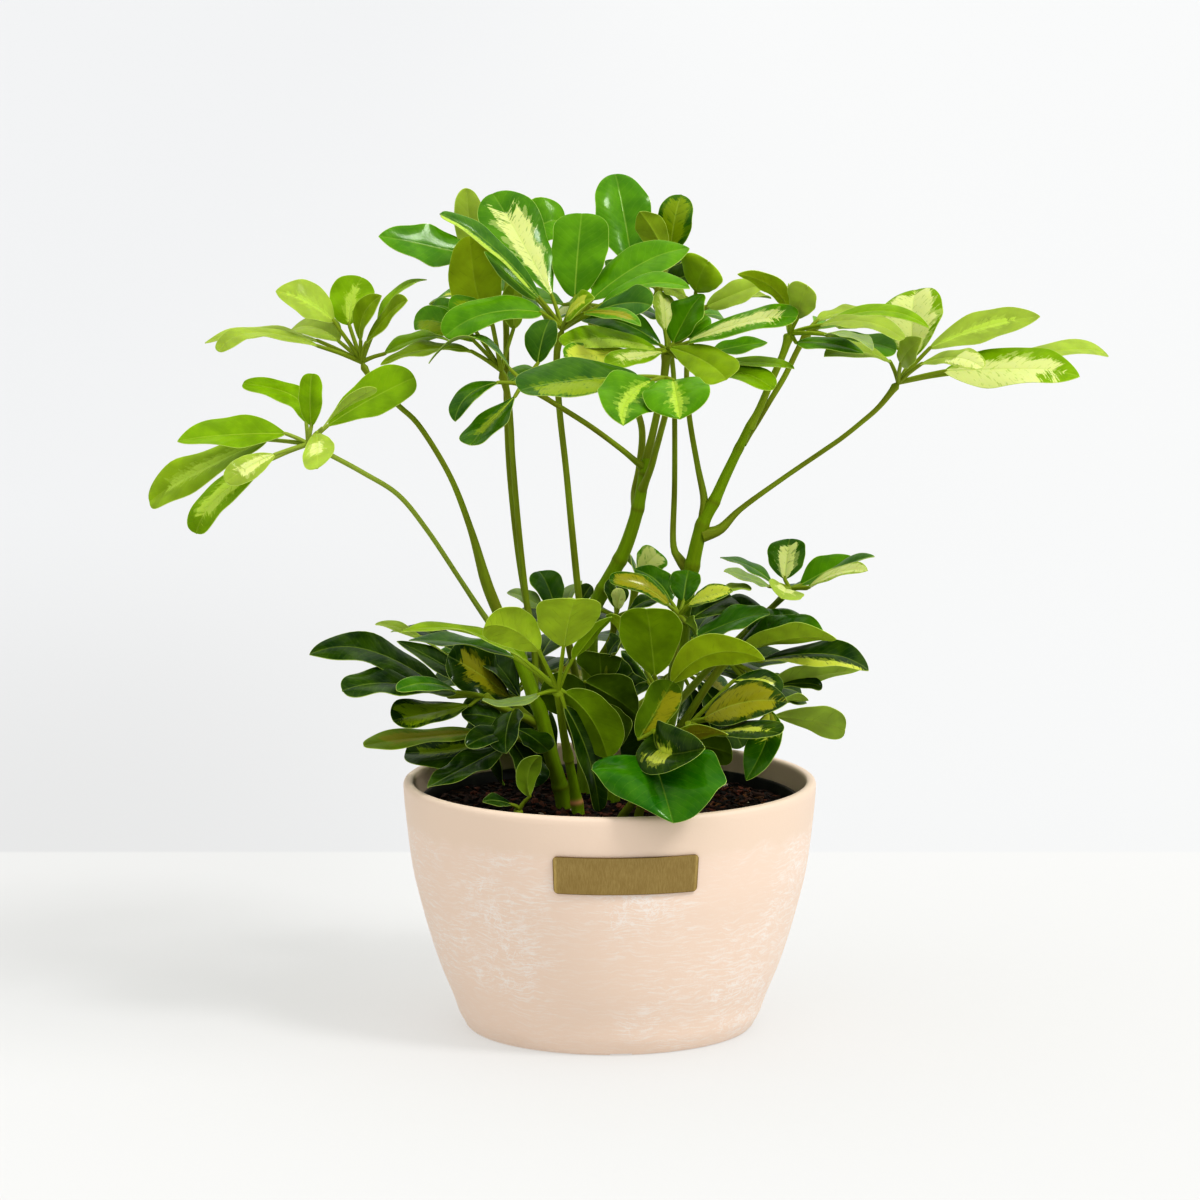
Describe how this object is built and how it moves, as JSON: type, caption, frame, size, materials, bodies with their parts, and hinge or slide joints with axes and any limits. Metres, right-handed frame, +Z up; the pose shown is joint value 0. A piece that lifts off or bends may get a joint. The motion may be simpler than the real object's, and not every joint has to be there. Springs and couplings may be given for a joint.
{
  "type": "potted umbrella plant",
  "caption": "Dwarf umbrella plant with variegated compound leaves on woody canes, in soil in a nursery liner, inside a rounded marbled planter with a small bare metal plaque.",
  "frame": {"origin": "middle of the planter's underside, on the surface that it stands on", "axes": "+Z up, -Y the front with the plaque, +X to the right seen from the front"},
  "size_m": [0.464, 0.2635, 0.4081],
  "materials": {
    "planter": "satin pale peach with faint whitish marbling below a smooth plain band at the rim",
    "plaque": "aged brass, brushed up and down",
    "liner": "thin black moulded plastic",
    "soil": "dark potting mix of bark and fibre with a few pale specks",
    "stem": "olive green young bark with leaf scars, browner on the shaded side",
    "leaf_bright": "glossy waxy yellow-green leaf with cream and yellow variegation",
    "leaf_dark": "glossy waxy dark green leaf with yellow variegation"
  },
  "bodies": {
    "root": {"planter": "planter", "plaque": "plaque", "liner": "liner", "soil": "soil", "cane_left": "stem", "cane_centre": "stem", "cane_right": "stem", "cane_front": "stem", "cane_back": "stem", "leaf_far_left": "leaf_bright", "leaf_high_left": "leaf_bright", "leaf_centre_left": "leaf_bright", "leaf_back_left": "leaf_bright", "leaf_top_centre": "leaf_bright", "leaf_drooping_left": "leaf_dark", "leaf_centre": "leaf_bright", "leaf_front_centre_top": "leaf_bright", "leaf_top_back": "leaf_bright", "leaf_right_of_centre": "leaf_bright", "leaf_right": "leaf_bright", "leaf_right_back": "leaf_bright", "leaf_far_right": "leaf_bright", "leaf_low_left_outer": "leaf_dark", "leaf_low_left_inner": "leaf_dark", "leaf_mid_left": "leaf_dark", "leaf_front_whorl": "leaf_bright", "leaf_front_right_whorl": "leaf_bright", "leaf_front_low": "leaf_dark", "leaf_front_right": "leaf_dark", "leaf_right_whorl": "leaf_dark", "leaf_small_centre": "leaf_bright", "leaf_small_right": "leaf_bright", "leaf_low_back_left": "leaf_dark", "leaf_tiny_centre": "leaf_dark", "leaf_back_variegated": "leaf_bright", "leaf_shaded_centre": "leaf_dark", "leaf_by_the_soil": "leaf_bright", "leaf_behind_left": "leaf_dark", "leaf_behind_right": "leaf_dark", "leaf_behind_top": "leaf_dark"}
  },
  "joints": []
}
